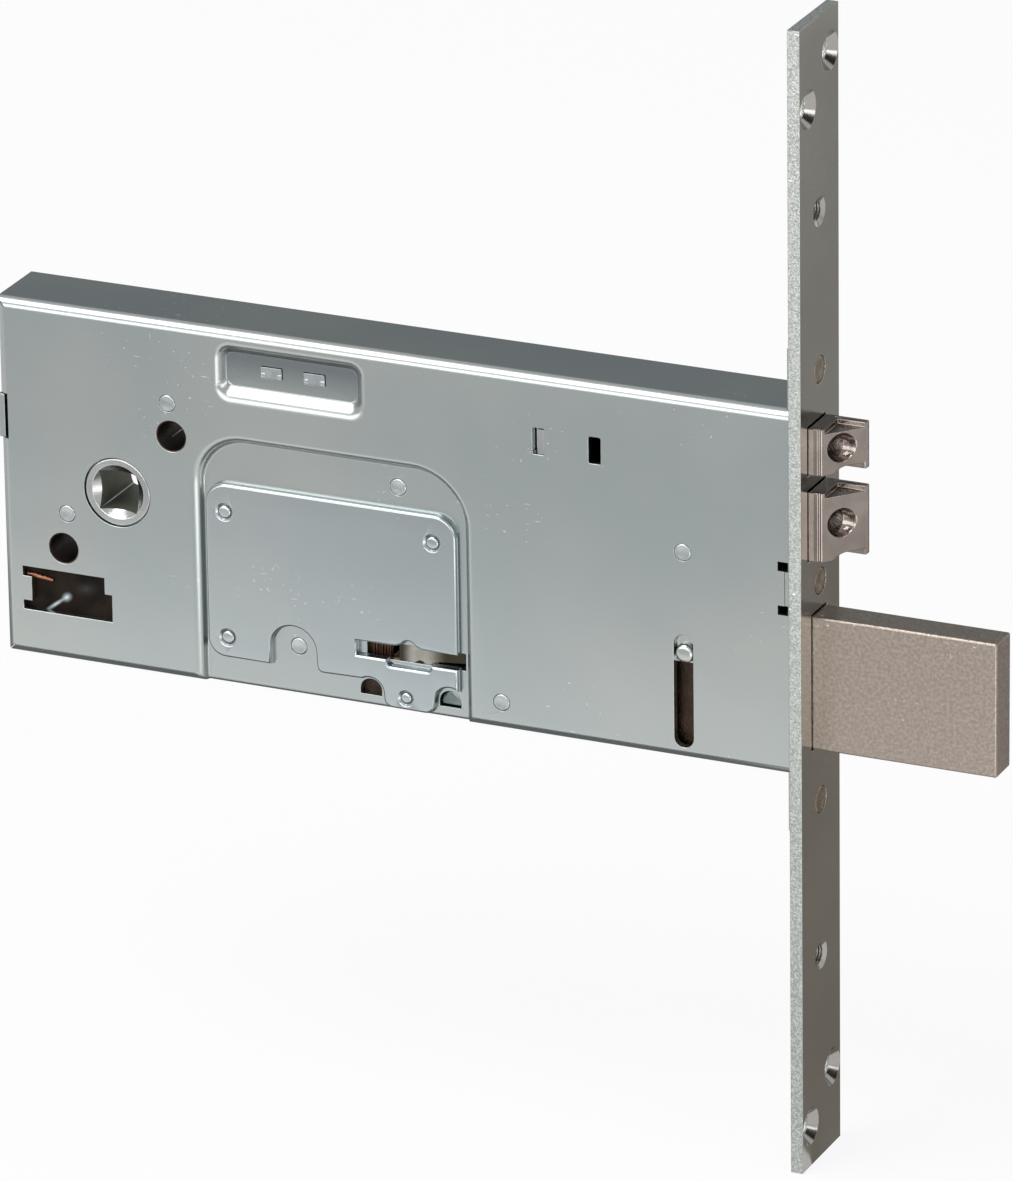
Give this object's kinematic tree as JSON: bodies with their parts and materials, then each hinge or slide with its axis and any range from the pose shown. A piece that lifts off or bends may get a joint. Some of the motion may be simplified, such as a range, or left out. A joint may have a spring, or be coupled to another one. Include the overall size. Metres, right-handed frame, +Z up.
{
  "type": "electric mortise lock",
  "caption": "Flat mortise lock case on a long faceplate, with bevelled latches, a thrown slab deadbolt, a square follower, a double-bit keyhole and an electric release.",
  "frame": {"origin": "middle of the two threaded holes, on the faceplate's front", "axes": "+X out of the faceplate, the way the bolts go; +Z up; -Y the side with the drill-protection plate"},
  "size_m": [0.207, 0.019, 0.232],
  "materials": {
    "zinc_sheet": "zinc plated, smooth, faintly mottled",
    "zinc_strip": "zinc plated, glossy",
    "plate_steel": "zinc plated, smooth",
    "rivet_steel": "zinc plated",
    "bright_steel": "bright",
    "spring_steel": "bright wire",
    "nickel_casting": "nickel plated die casting",
    "sintered_nickel": "nickel plated sintered steel, fine sparkle",
    "brass": "machined",
    "lever_brass": "stamped",
    "copper": "enamelled winding",
    "black_plastic": "moulded"
  },
  "bodies": {
    "case": {"back_cover": "zinc_sheet", "bar_guide": "bright_steel", "bar_rest": "bright_steel", "case_rivets": "rivet_steel", "case_shell": "zinc_sheet", "coil_bobbin": "black_plastic", "coil_winding": "copper", "draw_bar_spring": "spring_steel", "faceplate": "zinc_strip", "faceplate_rivets": "rivet_steel", "front_bracket": "zinc_strip", "hardened_plate": "plate_steel", "latch_guide": "bright_steel", "lever_pivot": "rivet_steel", "loading_latch_spring": "spring_steel", "magnet_yoke": "bright_steel", "main_latch_spring": "spring_steel", "pawl_post": "bright_steel", "plate_rivets": "rivet_steel", "plunger_spring": "spring_steel", "screw_sleeves": "bright_steel", "terminal_block": "black_plastic", "terminal_screws": "brass"},
    "deadbolt": {"deadbolt_head": "sintered_nickel", "deadbolt_tail": "bright_steel", "deadbolt_stump": "bright_steel", "deadbolt_rivets": "bright_steel"},
    "rod_slider": {"rod_slider": "bright_steel", "slider_pins": "bright_steel"},
    "key_rotor": {"key_rotor": "brass"},
    "follower": {"follower": "bright_steel"},
    "draw_bar": {"draw_bar": "bright_steel"},
    "main_latch": {"main_latch_head": "nickel_casting", "main_latch_stem": "bright_steel"},
    "loading_latch": {"loading_latch_head": "nickel_casting", "loading_latch_stem": "bright_steel"},
    "plunger": {"plunger": "bright_steel"},
    "locking_pawl": {"locking_pawl": "bright_steel"},
    "tumbler_lever_1": {"tumbler_lever_1": "lever_brass"},
    "tumbler_lever_2": {"tumbler_lever_2": "lever_brass"},
    "tumbler_lever_3": {"tumbler_lever_3": "lever_brass"},
    "tumbler_lever_4": {"tumbler_lever_4": "lever_brass"}
  },
  "joints": [
    {"name": "deadbolt_slide", "type": "slide", "parent": "case", "child": "deadbolt", "axis": [1, 0, 0], "range_m": [-0.036, 0]},
    {"name": "rod_slide", "type": "slide", "parent": "case", "child": "rod_slider", "axis": [0, 0, 1], "range_m": [-0.017, 0]},
    {"name": "key_turn", "type": "hinge", "parent": "case", "child": "key_rotor", "pos_m": [-0.0821, 0, -0.0248], "axis": [0, 1, 0], "range_deg": [-1080, 0]},
    {"name": "follower_turn", "type": "hinge", "parent": "case", "child": "follower", "pos_m": [-0.1443, 0, 0], "axis": [0, -1, 0], "range_deg": [0, 35], "stiffness_Nm_per_rad": 0.5, "springref_deg": -8.59},
    {"name": "draw_bar_slide", "type": "slide", "parent": "case", "child": "draw_bar", "axis": [1, 0, 0], "range_m": [-0.0096, 0], "deforming": ["draw_bar_spring"]},
    {"name": "main_latch_slide", "type": "slide", "parent": "case", "child": "main_latch", "axis": [1, 0, 0], "range_m": [-0.0096, 0], "deforming": ["main_latch_spring"]},
    {"name": "loading_latch_slide", "type": "slide", "parent": "case", "child": "loading_latch", "axis": [1, 0, 0], "range_m": [-0.0094, 0], "stiffness_N_per_m": 300, "springref_m": 0.004, "deforming": ["loading_latch_spring"]},
    {"name": "plunger_slide", "type": "slide", "parent": "case", "child": "plunger", "axis": [1, 0, 0], "range_m": [-0.0029, 0], "stiffness_N_per_m": 150, "springref_m": 0.002, "deforming": ["plunger_spring"]},
    {"name": "pawl_turn", "type": "hinge", "parent": "case", "child": "locking_pawl", "pos_m": [-0.1275, 0, -0.004], "axis": [0, -1, 0], "range_deg": [-7.22, 0]},
    {"name": "lever_1_lift", "type": "hinge", "parent": "case", "child": "tumbler_lever_1", "pos_m": [-0.1059, 0, -0.0263], "axis": [0, -1, 0], "range_deg": [0, 2.5], "stiffness_Nm_per_rad": 0.05, "springref_deg": -5.73},
    {"name": "lever_2_lift", "type": "hinge", "parent": "case", "child": "tumbler_lever_2", "pos_m": [-0.1059, 0, -0.0263], "axis": [0, -1, 0], "range_deg": [0, 2], "stiffness_Nm_per_rad": 0.05, "springref_deg": -5.73},
    {"name": "lever_3_lift", "type": "hinge", "parent": "case", "child": "tumbler_lever_3", "pos_m": [-0.1059, 0, -0.0263], "axis": [0, -1, 0], "range_deg": [0, 1.5], "stiffness_Nm_per_rad": 0.05, "springref_deg": -5.73},
    {"name": "lever_4_lift", "type": "hinge", "parent": "case", "child": "tumbler_lever_4", "pos_m": [-0.1059, 0, -0.0263], "axis": [0, -1, 0], "range_deg": [0, 2.25], "stiffness_Nm_per_rad": 0.05, "springref_deg": -5.73}
  ],
  "couplings": [
    {"joint": "rod_slide", "follows": "deadbolt_slide", "ratio": 0.47222},
    {"joint": "key_turn", "follows": "deadbolt_slide", "rad_per_m": 523.6},
    {"joint": "draw_bar_slide", "follows": "follower_turn", "m_per_rad": -0.015715},
    {"joint": "main_latch_slide", "follows": "follower_turn", "m_per_rad": -0.015715},
    {"joint": "pawl_turn", "follows": "plunger_slide", "rad_per_m": 43.478},
    {"joint": "lever_2_lift", "follows": "lever_1_lift", "ratio": 0.8},
    {"joint": "lever_3_lift", "follows": "lever_1_lift", "ratio": 0.6},
    {"joint": "lever_4_lift", "follows": "lever_1_lift", "ratio": 0.9}
  ]
}
